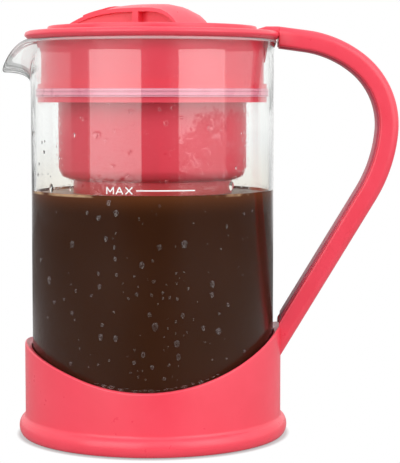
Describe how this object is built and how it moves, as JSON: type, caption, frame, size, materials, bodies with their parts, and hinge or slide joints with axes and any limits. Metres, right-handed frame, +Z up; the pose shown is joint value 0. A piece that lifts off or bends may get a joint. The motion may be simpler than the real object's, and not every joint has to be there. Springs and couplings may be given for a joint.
{
  "type": "cold brew coffee maker",
  "caption": "Tall glass carafe in a moulded holder with a loop handle, a drawn spout, a lift-out lid with a turning grip and a filter that hangs inside.",
  "frame": {"origin": "on the carafe's axis, at the underside of the non-slip pad that it stands on", "axes": "+Z up along the carafe's axis, +X to the handle, -X to the spout, the pictured front faces -Y"},
  "size_m": [0.2036, 0.1394, 0.222],
  "materials": {
    "glass": "clear, polished",
    "pink_plastic": "smooth coral pink with a soft gloss",
    "cover_plastic": "satin coral pink",
    "silicone": "milky, translucent",
    "steel": "plain",
    "screen": "fine woven nylon screen"
  },
  "bodies": {
    "carafe": {"glass_carafe": "glass", "base_holder": "pink_plastic", "glass_cushion": "silicone", "non_slip_pad": "silicone", "handle_shell": "pink_plastic", "handle_cover": "cover_plastic", "handle_screw_front": "steel", "handle_screw_back": "steel"},
    "lid": {"lid_plate": "pink_plastic", "lid_gasket": "silicone"},
    "knob": {"lid_cap": "pink_plastic", "pour_shutter": "pink_plastic", "hub_washer": "steel", "hub_screw": "steel"},
    "filter": {"brew_cup": "pink_plastic", "cup_seal": "silicone", "filter_frame": "pink_plastic", "filter_mesh": "screen", "filter_floor_mesh": "screen", "screen_clamp_ring": "pink_plastic"}
  },
  "joints": [
    {"name": "lid_lift", "type": "slide", "parent": "carafe", "child": "lid", "axis": [0, 0, 1], "range_m": [0, 0.2]},
    {"name": "knob_turn", "type": "hinge", "parent": "lid", "child": "knob", "pos_m": [0, 0, 0.2058], "axis": [0, 0, 1], "range_deg": [0, 30]},
    {"name": "filter_twist", "type": "hinge", "parent": "lid", "child": "filter", "pos_m": [0, 0, 0.178], "axis": [0, 0, 1], "range_deg": [0, 25]}
  ]
}
